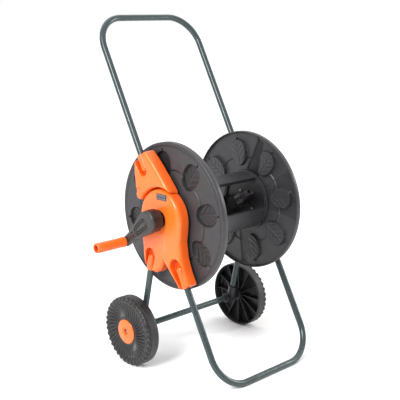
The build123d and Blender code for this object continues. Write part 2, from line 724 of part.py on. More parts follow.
with BuildPart() as grip:
    rod(ARM_END, *GRIP_X, GRIP_R)
    rod(ARM_END, GRIP_X[0], GRIP_X[0] - 4, GRIP_R + 2)
    chamfer(grip.faces().filter_by(Axis.X).sort_by(Axis.X)[0].edges(), 1.0)
    rod(ARM_END, GRIP_X[0] + 1, GRIP_X[1] - 1, PIN_R + RUNNING, Mode.SUBTRACT)
    rod(ARM_END, GRIP_X[1] - 1, GRIP_X[1] + GRIP_MOUTH, 8.0, Mode.SUBTRACT)
save(grip, "crank_grip")
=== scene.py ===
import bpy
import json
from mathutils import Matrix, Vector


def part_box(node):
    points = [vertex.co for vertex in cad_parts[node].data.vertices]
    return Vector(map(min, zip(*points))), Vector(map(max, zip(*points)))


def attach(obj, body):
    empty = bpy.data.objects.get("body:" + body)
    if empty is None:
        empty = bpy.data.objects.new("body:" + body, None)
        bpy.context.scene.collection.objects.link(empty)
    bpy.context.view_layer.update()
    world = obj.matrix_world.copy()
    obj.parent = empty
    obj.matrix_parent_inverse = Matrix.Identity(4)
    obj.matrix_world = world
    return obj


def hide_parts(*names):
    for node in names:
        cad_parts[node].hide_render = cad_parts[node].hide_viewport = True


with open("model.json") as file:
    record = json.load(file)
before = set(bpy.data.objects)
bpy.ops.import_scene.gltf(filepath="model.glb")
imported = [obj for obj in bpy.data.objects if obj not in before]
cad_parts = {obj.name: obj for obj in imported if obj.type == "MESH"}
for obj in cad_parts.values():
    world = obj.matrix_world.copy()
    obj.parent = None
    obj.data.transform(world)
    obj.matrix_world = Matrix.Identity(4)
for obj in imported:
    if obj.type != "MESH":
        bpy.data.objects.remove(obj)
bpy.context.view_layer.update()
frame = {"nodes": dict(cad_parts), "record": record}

import json
from math import atan2, cos, pi, radians, sin

import bmesh
import bpy
import numpy as np
from mathutils import Matrix, Vector

# Shapes are worked out in millimetres: u runs rearwards and v upwards from the drum's
# axis, w runs outwards from the cart's middle. place() turns them into the frame's metres.
MM = 0.001


def centre(node):
    low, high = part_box(node)
    return (low + high) / 2


MID_X = centre("stand_tube").x
DRUM = centre("flange_left")
AXLE = centre("wheel_axle")
GRIP = centre("crank_grip")
PIVOT_POINT = centre("handle_pin_left")
SIDES = ((-1, "left"), (1, "right"))


def place(side, u, v, w):
    """Places in the shared frame, in metres, of side-view points at w outside the middle."""
    return np.stack([
        MID_X + side * w * MM,
        DRUM.y + u * MM,
        DRUM.z + v * MM,
    ], axis=-1)


def side_view(point):
    """The (u, v) of a point in the shared frame."""
    return (point.y - DRUM.y) / MM, (point.z - DRUM.z) / MM


def reach(node):
    """How far out from the middle a node starts and ends, in millimetres."""
    low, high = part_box(node)
    ends = sorted((abs(low.x - MID_X) / MM, abs(high.x - MID_X) / MM))
    return ends[0], ends[1]


# ---------------------------------------------------------------- mesh building
def add_mesh(name, points, faces, smooth=True, crisp=False):
    """Mesh object from points and faces in the shared frame, its normals pointing out."""
    mesh = bpy.data.meshes.new(name)
    mesh.from_pydata(np.asarray(points).tolist(), [], [list(map(int, face)) for face in faces])
    work = bmesh.new()
    work.from_mesh(mesh)
    bmesh.ops.recalc_face_normals(work, faces=work.faces)
    work.to_mesh(mesh)
    work.free()
    if smooth:
        mesh.shade_smooth()
    if crisp:
        mesh.set_sharp_from_angle(angle=radians(40))
    piece = bpy.data.objects.new(name, mesh)
    bpy.context.collection.objects.link(piece)
    return piece


def smooth_min(a, b, blend):
    """The lower of two distances, with the corner between them rounded by blend."""
    h = np.clip(0.5 + 0.5 * (b - a) / blend, 0, 1)
    return b * (1 - h) + a * h - blend * h * (1 - h)


def smooth_max(a, b, blend):
    return -smooth_min(-a, -b, blend)


def outline_distance(points, u, v):
    """Signed distance to a closed outline in the side view, negative inside."""
    nearest = np.full(u.shape, np.inf)
    sign = np.ones(u.shape)
    for (au, av), (bu, bv) in zip(points, points[1:] + points[:1]):
        eu, ev = bu - au, bv - av
        pu, pv = u - au, v - av
        along = np.clip((pu * eu + pv * ev) / (eu * eu + ev * ev), 0, 1)
        nearest = np.minimum(nearest, (pu - eu * along) ** 2 + (pv - ev * along) ** 2)
        above, below, left = v >= av, v < bv, eu * pv > ev * pu
        crossing = (above & below & left) | (~above & ~below & ~left)
        sign = np.where(crossing, -sign, sign)
    return sign * np.sqrt(nearest)


def capsule(point, start, end, start_r, end_r):
    """Distance to a round-ended bar whose radius changes evenly along it."""
    run = [e - s for s, e in zip(start, end)]
    length = sum(r * r for r in run)
    along = np.clip(sum((p - s) * r for p, s, r in zip(point, start, run)) / length, 0, 1)
    gap = sum((p - s - along * r) ** 2 for p, s, r in zip(point, start, run))
    return np.sqrt(gap) - (start_r + (end_r - start_r) * along)


def arc(radius, start, end, count, middle=(0.0, 0.0)):
    """Points on an arc in the side view, angles in degrees from the rear."""
    return [
        (middle[0] + radius * cos(radians(a)), middle[1] + radius * sin(radians(a)))
        for a in np.linspace(start, end, count)
    ]


def rounded(points, passes=3):
    """Closed outline with its corners cut round."""
    for _ in range(passes):
        cut = []
        for (au, av), (bu, bv) in zip(points, points[1:] + points[:1]):
            cut.append((au * 0.75 + bu * 0.25, av * 0.75 + bv * 0.25))
            cut.append((au * 0.25 + bu * 0.75, av * 0.25 + bv * 0.75))
        points = cut
    return points


def moulded(name, side, shape, low, high, step, shade=None):
    """Closed mesh of the zero surface of shape(u, v, w), sampled on a grid.
    shade(u, v, w) says how much painted shade a hollow gets there, 0 to 1."""
    axes = [np.arange(a, b + step, step) for a, b in zip(low, high)]
    field = shape(*np.meshgrid(*axes, indexing="ij"))
    inside = field < 0
    size = np.array(field.shape)
    corners = [(i, j, k) for i in (0, 1) for j in (0, 1) for k in (0, 1)]
    filled = sum(
        inside[i:size[0] - 1 + i, j:size[1] - 1 + j, k:size[2] - 1 + k].astype(int)
        for i, j, k in corners
    )
    cells = np.argwhere((filled > 0) & (filled < 8))
    number = np.full(size - 1, -1)
    number[tuple(cells.T)] = np.arange(len(cells))
    total = np.zeros((len(cells), 3))
    hits = np.zeros(len(cells))
    for corner in corners:
        for axis in range(3):
            if corner[axis]:
                continue
            step_on = np.zeros(3, int)
            step_on[axis] = 1
            near = field[tuple((cells + corner).T)]
            far = field[tuple((cells + corner + step_on).T)]
            crossed = (near < 0) != (far < 0)
            share = near[crossed] / (near[crossed] - far[crossed])
            total[crossed] += corner + share[:, None] * step_on
            hits[crossed] += 1
    spots = np.array(low) + step * (cells + total / hits[:, None])
    quads = []
    for axis in range(3):
        one, two = [a for a in range(3) if a != axis]
        lower = [slice(1, -1)] * 3
        upper = [slice(1, -1)] * 3
        lower[axis] = slice(0, -1)
        upper[axis] = slice(1, None)
        edge = np.argwhere(inside[tuple(lower)] != inside[tuple(upper)])
        edge[:, one] += 1
        edge[:, two] += 1
        ring = []
        for back_one, back_two in ((1, 1), (0, 1), (0, 0), (1, 0)):
            cell = edge.copy()
            cell[:, one] -= back_one
            cell[:, two] -= back_two
            ring.append(number[tuple(cell.T)])
        quads.append(np.stack(ring, axis=1))
    points = place(side, spots[:, 0], spots[:, 1], spots[:, 2])
    piece = add_mesh(name, points, np.concatenate(quads))
    if shade:
        darken(piece, shade(*spots.T))
    return piece


def darken(piece, amount):
    """Stores how much painted shade each point gets, which the plastics show as a darker colour."""
    painted_shade = piece.data.attributes.new("painted_shade", "FLOAT", "POINT")
    painted_shade.data.foreach_set("value", np.clip(amount, 0, 1).reshape(-1).astype(np.float32))


def soften(piece, rounds=3, keep=0.5):
    """Evens out the small steps of a sampled surface, then drops what flat areas don't need."""
    smooth = piece.modifiers.new("soften", "SMOOTH")
    smooth.iterations = rounds
    smooth.factor = 0.5
    thin = piece.modifiers.new("thin", "DECIMATE")
    thin.ratio = keep
    apply_modifiers(piece)
    piece.data.shade_smooth()


def apply_modifiers(piece):
    bpy.context.view_layer.update()
    ready = piece.evaluated_get(bpy.context.evaluated_depsgraph_get())
    mesh = bpy.data.meshes.new_from_object(ready)
    piece.modifiers.clear()
    piece.data = mesh


def turned(name, side, middle, profile, around, relief=None, smooth=True):
    """Closed ring swept round an X-parallel axis. profile is (radius, w) points;
    relief(angle, radius, w, number) returns what to add to radius and w."""
    angle = np.linspace(0, 2 * pi, around, endpoint=False)[:, None]
    radius = np.array([p[0] for p in profile], float)[None, :] + 0 * angle
    out = np.array([p[1] for p in profile], float)[None, :] + 0 * angle
    if relief:
        number = np.arange(len(profile))[None, :] + 0 * angle.astype(int)
        more_r, more_w = relief(angle + 0 * radius, radius, out, number)
        radius, out = radius + more_r, out + more_w
    u = middle[0] + radius * np.cos(angle)
    v = middle[1] + radius * np.sin(angle)
    points = place(side, u, v, out).reshape(-1, 3)
    count = len(profile)
    row = np.arange(around)[:, None] * count
    next_row = (np.arange(1, around + 1) % around)[:, None] * count
    col = np.arange(count)[None, :]
    next_col = (np.arange(1, count + 1) % count)[None, :]
    faces = np.stack([row + col, next_row + col, next_row + next_col, row + next_col], -1)
    return add_mesh(name, points, faces.reshape(-1, 4), smooth, crisp=True)


def swept_arc(name, angles, sections, ends):
    """Closed bar bent round the drum's axis; one list of radii per angle, between two w's."""
    points, faces = [], []
    for angle, (outer_r, inner_r) in zip(angles, sections):
        for radius, w in ((outer_r, ends[0]), (outer_r, ends[1]), (inner_r, ends[1]), (inner_r, ends[0])):
            points.append(place(1, radius * cos(angle), radius * sin(angle), w))
    for step in range(len(angles) - 1):
        near, far = 4 * step, 4 * step + 4
        faces += [(near + k, near + (k + 1) % 4, far + (k + 1) % 4, far + k) for k in range(4)]
    last = 4 * (len(angles) - 1)
    faces += [(0, 1, 2, 3), (last, last + 3, last + 2, last + 1)]
    return add_mesh(name, points, faces, crisp=True)


def join(first, *others):
    """One object from several, with their meshes merged."""
    with bpy.context.temp_override(
        active_object=first, selected_editable_objects=[first, *others]
    ):
        bpy.ops.object.join()
    return first


def block(side, low, high):
    """Eight corners and six faces of a box between two (u, v, w) corners."""
    spots = [(u, v, w) for u in (low[0], high[0]) for v in (low[1], high[1]) for w in (low[2], high[2])]
    u, v, w = np.array(spots, float).T
    faces = [(0, 1, 3, 2), (4, 6, 7, 5), (0, 4, 5, 1), (2, 3, 7, 6), (0, 2, 6, 4), (1, 5, 7, 3)]
    return place(side, u, v, w), faces


# ---------------------------------------------------------------- materials
def node_material(name):
    made = bpy.data.materials.new(name)
    made.use_nodes = True
    nodes = made.node_tree.nodes
    shader = nodes["Principled BSDF"]
    where = nodes.new("ShaderNodeTexCoord")
    return made, nodes, made.node_tree.links, shader, where


def noise(nodes, links, where, scale, detail=4.0):
    grain = nodes.new("ShaderNodeTexNoise")
    grain.inputs["Scale"].default_value = scale
    grain.inputs["Detail"].default_value = detail
    links.new(where.outputs["Object"], grain.inputs["Vector"])
    return grain.outputs["Fac"]


def spread(nodes, links, value, low, high, start=0.3, end=0.7):
    """A value eased from start..end to low..high."""
    ease = nodes.new("ShaderNodeMapRange")
    for socket, number in zip(("From Min", "From Max", "To Min", "To Max"), (start, end, low, high)):
        ease.inputs[socket].default_value = number
    links.new(value, ease.inputs["Value"])
    return ease.outputs["Result"]


def mix_colour(nodes, links, share, first, second):
    mixer = nodes.new("ShaderNodeMix")
    mixer.data_type = "RGBA"
    links.new(share, mixer.inputs["Factor"])
    for socket, colour in zip(("A", "B"), (first, second)):
        slot_in = [s for s in mixer.inputs if s.name == socket and s.type == "RGBA"][0]
        if isinstance(colour, tuple):
            slot_in.default_value = (*colour, 1)
        else:
            links.new(colour, slot_in)
    return [s for s in mixer.outputs if s.type == "RGBA"][0]


def moulded_plastic(name, colour, worn, roughness, grain=1400.0, bump=0.05, coat=0.0, sunk=None):
    """Injection-moulded plastic: slight flow marks, fine spark-eroded grain, light scuffs
    and painted shade, mixed towards the sunk colour, where a piece stores an amount of it."""
    made, nodes, links, shader, where = node_material(name)
    flow = spread(nodes, links, noise(nodes, links, where, 9.0), 0, 1)
    shade = tuple(c * 0.88 for c in colour)
    body = mix_colour(nodes, links, flow, shade, colour)
    scuffs = spread(nodes, links, noise(nodes, links, where, 60.0, 8.0), 0, 0.18, 0.52, 0.72)
    scuffed = mix_colour(nodes, links, scuffs, body, worn)
    # painted shade: the stored amount mixes the colour towards the dark sunk colour
    hollow = nodes.new("ShaderNodeAttribute")
    hollow.attribute_name = "painted_shade"
    sunk = sunk or tuple(c * 0.15 for c in colour)
    links.new(mix_colour(nodes, links, hollow.outputs["Fac"], scuffed, sunk), shader.inputs["Base Color"])
    patchy = spread(nodes, links, noise(nodes, links, where, 35.0, 6.0), roughness - 0.06, roughness + 0.08)
    links.new(patchy, shader.inputs["Roughness"])
    pits = nodes.new("ShaderNodeBump")
    pits.inputs["Strength"].default_value = bump
    pits.inputs["Distance"].default_value = 0.0004
    links.new(noise(nodes, links, where, grain, 2.0), pits.inputs["Height"])
    links.new(pits.outputs["Normal"], shader.inputs["Normal"])
    shader.inputs["Specular IOR Level"].default_value = 0.5
    shader.inputs["Coat Weight"].default_value = coat
    shader.inputs["Coat Roughness"].default_value = 0.12
    return made


def metal(name, colour, dark, roughness, metallic, grain, bump):
    """Painted or plated metal: fine flake, slight orange peel, duller patches."""
    made, nodes, links, shader, where = node_material(name)
    flake = spread(nodes, links, noise(nodes, links, where, grain, 3.0), 0, 1, 0.35, 0.65)
    body = mix_colour(nodes, links, flake, dark, colour)
    dull = spread(nodes, links, noise(nodes, links, where, 25.0, 5.0), 0, 1, 0.5, 0.75)
    links.new(mix_colour(nodes, links, dull, body, dark), shader.inputs["Base Color"])
    patchy = spread(nodes, links, noise(nodes, links, where, 50.0, 6.0), roughness - 0.05, roughness + 0.1)
    links.new(patchy, shader.inputs["Roughness"])
    shader.inputs["Metallic"].default_value = metallic
    peel = nodes.new("ShaderNodeBump")
    peel.inputs["Strength"].default_value = bump
    peel.inputs["Distance"].default_value = 0.0003
    links.new(noise(nodes, links, where, 500.0, 2.0), peel.inputs["Height"])
    links.new(peel.outputs["Normal"], shader.inputs["Normal"])
    return made


LOOKS = {
    "orange_plastic": moulded_plastic(
        "orange_plastic", (0.93, 0.150, 0.011), (0.95, 0.24, 0.04), 0.32, 1500.0, 0.03, 0.2,
        # dark red-orange that the painted shade gives in its recesses and on its walls
        (0.62, 0.055, 0.003)),
    "drum_grey": moulded_plastic(
        "drum_grey", (0.032, 0.032, 0.035), (0.07, 0.07, 0.073), 0.42, 1200.0, 0.08),
    "black_plastic": moulded_plastic(
        "black_plastic", (0.020, 0.017, 0.021), (0.05, 0.05, 0.05), 0.45, 1200.0, 0.08),
    "wheel_black": moulded_plastic(
        "wheel_black", (0.020, 0.019, 0.020), (0.05, 0.05, 0.05), 0.42, 900.0, 0.12),
    "crank_grey": moulded_plastic(
        "crank_grey", (0.030, 0.028, 0.029), (0.07, 0.07, 0.07), 0.38, 1200.0, 0.08),
    "bush_plastic": moulded_plastic(
        "bush_plastic", (0.72, 0.71, 0.66), (0.80, 0.80, 0.78), 0.40),
    "badge_grey": moulded_plastic(
        "badge_grey", (0.13, 0.14, 0.16), (0.30, 0.30, 0.31), 0.40, 1200.0, 0.06),
    "pin_grey": moulded_plastic(
        "pin_grey", (0.20, 0.22, 0.22), (0.40, 0.40, 0.40), 0.45),
    "seal_rubber": moulded_plastic(
        "seal_rubber", (0.02, 0.02, 0.02), (0.05, 0.05, 0.05), 0.7),
    "frame_paint": metal(
        "frame_paint", (0.055, 0.075, 0.078), (0.036, 0.050, 0.053), 0.24, 0.30, 2600.0, 0.04),
    "bright_steel": metal(
        "bright_steel", (0.40, 0.39, 0.38), (0.28, 0.27, 0.26), 0.45, 1.0, 900.0, 0.08),
}


def dress(piece, look, body, *nodes):
    """Gives a piece its finish and its body, and hides the CAD nodes that it stands for."""
    piece.data.materials.clear()
    piece.data.materials.append(LOOKS[look])
    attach(piece, body)
    if nodes:
        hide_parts(*nodes)
    return piece


for entry in frame["record"]["subparts"]:
    finish = LOOKS[entry["material_slot"]]
    carried = frame["nodes"][entry["node"]]
    if not carried.material_slots:
        carried.data.materials.append(finish)
    for held in carried.material_slots:
        held.material = finish

# ---------------------------------------------------------------- shared places
INNER, OUTER = reach("side_cover_left")
DEPTH = OUTER - INNER
PIVOT = side_view(PIVOT_POINT)
LOOP_LOW, LOOP_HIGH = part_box("handle_tube")
TUBE_R = 8.0
LEAN = radians(28.07)                              # of the tube loop's sides, from upright
STAND = side_view(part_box("stand_tube")[0])
FOOT = (STAND[0] + TUBE_R, STAND[1] + TUBE_R)      # foot bar's centreline
TUBE_W = (LOOP_HIGH.x - LOOP_LOW.x) / 2 / MM - TUBE_R
BORE_R = TUBE_R + 0.3                              # hole for a tube in a moulding
AXLE_UV = side_view(AXLE)
STAND_END, LEG_END, HANDLE_END = -117.4, -108.0, 112.1     # heights where the tubes stop
LEG_TOP_U = 48.4                                   # rear leg's upper end
LEG_SLOPE = (LEG_TOP_U - AXLE_UV[0]) / (LEG_END - AXLE_UV[1])


def on_loop(v):
    """The tube loop's centreline at height v."""
    return FOOT[0] + (v - FOOT[1]) * np.tan(LEAN)


def on_leg(v):
    """The rear leg's centreline at height v."""
    return AXLE_UV[0] + (v - AXLE_UV[1]) * LEG_SLOPE


def tube_run(line, low, high, w):
    """The two ends of a stretch of tube between two heights."""
    return (line(low), low, w), (line(high), high, w)


# ---------------------------------------------------------------- side housings
HOUSING_R = 72.5
HUB_HOLE_R = 21.5
SEAM_R = 74.0
SHELL = 3.0             # wall thickness
EDGE = 9.5              # rounding of the outer edge
DRAFT = 0.09            # slope of the side walls
RECESS_FLOOR = 11.5     # height of the recess floors above the inner edge
SLEEVE_R = 10.4         # moulding round a tube, at its inner end
SLEEVE_TOP = 17
EAR_TOP = 15.9          # outer face of the ear that the bracket folds on
SEAT_W = TUBE_W - INNER

# round top, front edge, front foot, notch, rear foot and rear edge
HOUSING = arc(HOUSING_R, -4, 184, 40) + [
    (-70, -24), (-67, -48), (-72, -84), (-82, -112), (-97, -141),
    (-98, -145), (-94, -148), (-66, -162), (-61, -161), (-55, -152),
    (-34, -130), (-14, -109), (-8, -103),
    (-5, -110), (2, -124), (12, -135), (24, -141), (44, -141), (60, -137), (67, -128),
    (70, -100), (72, -60),
]
# the far housing's front foot stops a little higher up the tube
SHORT_HOUSING = [(u + 6.5, v + 12) if u < -50 and v < -140 else (u, v) for u, v in HOUSING]


def recess_shade(u, v, w, start, end, start_r, end_r):
    """Painted shade below the face within a recess, darkest where its wall meets the floor."""
    gap = capsule((u, v), start, end, start_r, end_r)
    below = np.clip((DEPTH - 2.5 - w) / 5, 0, 1)
    return np.clip((1.5 - gap) / 2, 0, 1) * below * np.clip(1.15 + gap / 16, 0, 1)


def recess(solid, u, v, w, start, end, start_r, end_r):
    """Sinks a tapering round-ended recess into the face, down to RECESS_FLOOR."""
    hollow = np.maximum(capsule((u, v), start, end, start_r, end_r), RECESS_FLOOR - w)
    return smooth_max(solid, -hollow, 3.5)


FRONT_RECESS = ((on_loop(-108) - 3, -108), (on_loop(-158) - 3, -158), 19.5, 11.5)
REAR_RECESS = ((on_leg(-98) - 5, -98), (on_leg(-146) - 4, -146), 17.5, 12.5)


def wall_shade(w):
    """Painted shade on the housings' side walls, a little darker towards the drum."""
    return 0.5 * np.clip((DEPTH - 6 - w) / 8, 0, 1)


def beside(u, v, w, line):
    """0 on top of a tube's sleeve and 1 beside it."""
    off = np.abs(u - line(v)) * cos(LEAN)
    return np.maximum(np.clip((off - 6.5) / 3, 0, 1), w < SLEEVE_TOP)


# painted shade of a housing: in its two recesses, not on top of the tube sleeves, and on its side walls
def cover_shade(u, v, w):
    w = w - INNER
    front = recess_shade(u, v, w, *FRONT_RECESS) * beside(u, v, w, on_loop)
    rear = recess_shade(u, v, w, *REAR_RECESS) * beside(u, v, w, on_leg)
    return np.maximum(np.maximum(front, rear), wall_shade(w))


def cover_shape(u, v, w, outline):
    flat = outline_distance(outline, u[:, :, 0], v[:, :, 0])[:, :, None]
    crease = np.clip((u + 14 + (v + 103) * 0.16) / 7, 0, 1) * np.clip(-(v + 35) / 45, 0, 1)
    solid = smooth_max(flat + (w - 4) * DRAFT, w - (DEPTH - 3.2 * crease), EDGE)
    solid = recess(solid, u, v, w, *FRONT_RECESS)
    solid = recess(solid, u, v, w, *REAR_RECESS)
    for line, low, high in ((on_loop, -176, STAND_END), (on_leg, -160, LEG_END)):
        sleeve = capsule((u, v, w), *tube_run(line, low, high, SEAT_W), SLEEVE_R + 1, SLEEVE_R)
        solid = smooth_min(solid, np.maximum(sleeve, flat - 1), 1.6)
    hollow = np.maximum(solid + SHELL, w - DEPTH)
    shell = np.maximum(solid, -hollow)
    neck = capsule((u, v), (0.8 * PIVOT[0], 0.8 * PIVOT[1]), PIVOT, 6, 6)
    eye = np.hypot(u - PIVOT[0], v - PIVOT[1]) - 12
    shell = np.minimum(shell, np.maximum(np.minimum(neck, eye), w - EAR_TOP))
    shell = np.maximum(shell, HUB_HOLE_R - np.hypot(u, v))
    for line, high in ((on_loop, STAND_END), (on_leg, LEG_END)):
        tube = capsule((u, v, w), *tube_run(line, -190, high, SEAT_W), BORE_R, BORE_R)
        shell = np.maximum(shell, -tube)
    return np.maximum(shell, 0.01 - w)


BRACKET = rounded([
    (-39, 60), (-32, 76), (44, 156), (60, 156), (86, 142), (97, 128),
    (89, PIVOT[1]), PIVOT, (20, 10),
], 1)
SWEEP_R = 18.0          # room in the bracket for the housing's ear
LUG_W = 16.5
LUG_R = 15.0
GROOVE_R = 16.2         # groove round the lug
TOP_RECESS = ((on_loop(110) - 5, 110), (on_loop(160) - 3, 160), 14.5, 20.0)


# painted shade of a bracket: in the groove round the lug, in its recess beside the sleeve and on its side
# walls
def bracket_shade(u, v, w):
    w = w - INNER
    lug = np.hypot(u - PIVOT[0], v - PIVOT[1])
    groove = np.exp(-((lug - GROOVE_R) / 1.2) ** 2) * (v < PIVOT[1] + 12) * (w > DEPTH - 6)
    top = recess_shade(u, v, w, *TOP_RECESS) * beside(u, v, w, on_loop)
    return np.maximum(np.maximum(top, groove), wall_shade(w))


def bracket_shape(u, v, w):
    flat = outline_distance(BRACKET, u[:, :, 0], v[:, :, 0])[:, :, None]
    lug = np.hypot(u - PIVOT[0], v - PIVOT[1])
    flat = np.minimum(flat, lug - LUG_R)
    flat = smooth_max(flat, SEAM_R - np.hypot(u, v), 2)
    solid = smooth_max(flat + (w - 4) * DRAFT, w - DEPTH, EDGE - 1.5)
    solid = recess(solid, u, v, w, *TOP_RECESS)
    groove = np.maximum(np.abs(lug - GROOVE_R) - 1.1, DEPTH - 2.4 - w)
    solid = smooth_max(solid, -groove, 1.2)
    sleeve = capsule((u, v, w), *tube_run(on_loop, HANDLE_END, 180, SEAT_W), SLEEVE_R, SLEEVE_R + 1)
    solid = smooth_min(solid, np.maximum(sleeve, flat + 1), 1.6)
    dome = np.maximum(lug - LUG_R + 1, LUG_W - w)
    hollow = np.maximum(solid + SHELL, -dome)
    shell = np.maximum(solid, -hollow)
    shell = np.maximum(shell, -np.maximum(lug - SWEEP_R, w - LUG_W))
    tube = capsule((u, v, w), *tube_run(on_loop, HANDLE_END, 200, SEAT_W), BORE_R, BORE_R)
    shell = np.maximum(shell, -tube)
    return np.maximum(shell, 0.01 - w)


def outward(shape, *rest):
    """The same shape with w counted from the housing's inner edge."""
    def shifted(u, v, w):
        return shape(u, v, w - INNER, *rest)
    return shifted


GRAIN = 1.1
for side, name in SIDES:
    outline = HOUSING if side < 0 else SHORT_HOUSING
    cover = moulded(f"housing_cover_{name}", side, outward(cover_shape, outline),
                    (-104, -168, INNER - 2), (92, 78, OUTER + 2), GRAIN, cover_shade)
    soften(cover, 2, 0.45)
    dress(cover, "orange_plastic", "frame", f"side_cover_{name}")
    bracket = moulded(f"housing_bracket_{name}", side, outward(bracket_shape),
                      (-46, 26, INNER - 2), (104, 164, OUTER + 2), GRAIN, bracket_shade)
    soften(bracket, 2, 0.45)
    dress(bracket, "orange_plastic", "handle", f"handle_bracket_{name}")

# ---------------------------------------------------------------- badges
BADGE_IN, BADGE_OUT = reach("badge_left")
PLATE_HALF = (18.0, 7.6)
BAR_HALF = (2.3, 2.7)
BAR_STEP = (6.4, 3.6)


def slab(name, side, middle, half, low, high, smooth):
    """Box about a side-view point, between two w's."""
    (u, v), (wide, tall) = middle, half
    shape = block(side, (u - wide, v - tall, low), (u + wide, v + tall, high))
    return add_mesh(name, *shape, smooth=smooth)


def badge_bar(side, u, v):
    """Plain raised bar with rounded edges."""
    bar = slab("bar", side, (u, v), BAR_HALF, BADGE_IN + 0.3, BADGE_OUT, True)
    rounding = bar.modifiers.new("rounding", "BEVEL")
    rounding.width = 0.3 * MM
    rounding.segments = 2
    apply_modifiers(bar)
    darken(bar, np.zeros(len(bar.data.vertices)))
    return bar


for side, name in SIDES:
    badge_u, badge_v = side_view(centre(f"badge_{name}"))
    plate = slab(f"badge_plate_{name}", side, (badge_u, badge_v), PLATE_HALF,
                 BADGE_IN, BADGE_IN + 0.4, False)
    # painted shade over the whole plate, so it reads dark between the raised bars
    darken(plate, np.ones(8))
    bars = [
        badge_bar(side, badge_u + BAR_STEP[0] * column, badge_v + BAR_STEP[1] * row)
        for column in range(-2, 3) for row in (-1, 1)
    ]
    dress(join(plate, *bars), "badge_grey", "frame", f"badge_{name}")

# ---------------------------------------------------------------- crank and grip
ARM_END = side_view(GRIP)
CRANK_LOW, CRANK_FACE = 180.0, reach("crank_arm")[1]
ARM_ANGLE = atan2(ARM_END[1], ARM_END[0])
BARREL_R = 26.6
BARREL_RIBS = 14
GRIP_PIN_R = 4.1


def along_arm(share, across=0.0):
    """Side-view point at a share of the arm's length, that far beside its middle line."""
    return (share * ARM_END[0] - across * sin(ARM_ANGLE),
            share * ARM_END[1] + across * cos(ARM_ANGLE))


def crank_oval(u, v):
    """Distance to the long oval on the crank's face."""
    return capsule((u, v), along_arm(0.10), along_arm(0.40), 12, 10)


RING_SPACING = 5.0
DIMPLES = [along_arm(0.62, across) for across in (-5, 5)]


def crank_shape(u, v, w):
    along = (u * cos(ARM_ANGLE) + v * sin(ARM_ANGLE)) / np.hypot(*ARM_END)
    flat = capsule((u, v), (0, 0), ARM_END, 27.5, 13.0)
    waist = 4.5 * np.clip(1 - np.abs(along - 0.62) / 0.42, 0, 1)
    back = CRANK_LOW + 8 + 18 * np.clip(along, 0, 1)
    arm = smooth_max(flat + waist, w - CRANK_FACE, 7)
    arm = smooth_max(arm, back - w, 6)
    spoke = np.arctan2(v, u)
    barrel_r = BARREL_R + 0.9 * np.clip(np.cos(BARREL_RIBS * spoke) * 2.5, -1, 1)
    barrel = smooth_max(np.hypot(u, v) - barrel_r, np.abs(w - 199.5) - 12.5, 2)
    solid = smooth_min(arm, barrel, 1.5)
    oval = crank_oval(u, v)
    for inset in (0, RING_SPACING):
        ring = np.maximum(np.abs(oval + inset) - 0.9, CRANK_FACE - 2.8 - w)
        solid = smooth_max(solid, -ring, 0.8)
    for spot in DIMPLES:
        dimple = np.maximum(np.hypot(u - spot[0], v - spot[1]) - 2.4, CRANK_FACE - 4 - w)
        solid = smooth_max(solid, -dimple, 1)
    spigot = np.maximum(np.maximum(np.abs(u), np.abs(v)) - 10, np.abs(w - 174.5) - 13.5)
    solid = np.minimum(solid, spigot)
    pin = np.hypot(u - ARM_END[0], v - ARM_END[1])
    return np.maximum(solid, GRIP_PIN_R - pin)


def crank_shade(u, v, w):
    """Painted shade in the oval rings, the two dimples and between the barrel's ribs."""
    oval = crank_oval(u, v)
    sunk = w < CRANK_FACE - 0.7
    ring = np.minimum(np.abs(oval), np.abs(oval + RING_SPACING))
    dark = (ring < 1.6) * sunk * (w > CRANK_FACE - 6)
    for spot in DIMPLES:
        dark = dark + (np.hypot(u - spot[0], v - spot[1]) < 3.4) * sunk
    barrel = (np.hypot(u, v) < 29) * (np.hypot(u, v) > 22) * (w < CRANK_FACE - 6)
    return dark + 0.75 * barrel


crank = moulded("crank_arm_moulding", -1, crank_shape, (-31, -82, 159), (98, 31, CRANK_FACE + 3),
                0.95, crank_shade)
soften(crank, 1, 0.6)
dress(crank, "crank_grey", "drum", "crank_arm")

GRIP_IN, GRIP_OUT = reach("crank_grip")
GRIP_R = 12.5
GRIP_HOLE_R = 4.06      # runs on the pin
GRIP_BORE_R = 8.0       # open outer end
GRIP_BORE_END = GRIP_OUT - 22
grip_profile = [
    (GRIP_HOLE_R, GRIP_IN), (GRIP_R - 1.2, GRIP_IN), (GRIP_R + 0.2, GRIP_IN + 1),
    (GRIP_R + 0.5, GRIP_IN + 2.4),
    (GRIP_R + 0.4, GRIP_IN + 5), (GRIP_R, GRIP_IN + 9), (GRIP_R - 0.2, GRIP_IN + 20),
    (GRIP_R - 0.1, GRIP_IN + 45), (GRIP_R, GRIP_IN + 70), (GRIP_R, GRIP_OUT - 2.2),
    (GRIP_R - 0.5, GRIP_OUT - 0.7), (GRIP_R - 1.4, GRIP_OUT), (GRIP_BORE_R + 0.4, GRIP_OUT),
    (GRIP_BORE_R, GRIP_OUT - 0.5), (GRIP_BORE_R, GRIP_BORE_END + 0.5),
    (GRIP_BORE_R - 0.6, GRIP_BORE_END), (GRIP_HOLE_R, GRIP_BORE_END),
]
grip = turned("grip_sleeve", -1, ARM_END, grip_profile, 64)
# painted shade inside the grip's open outer end and round its pin hole
darken(grip, np.tile([float(radius < GRIP_BORE_R + 0.2) for radius, _ in grip_profile], 64))
dress(grip, "orange_plastic", "grip", "crank_grip")

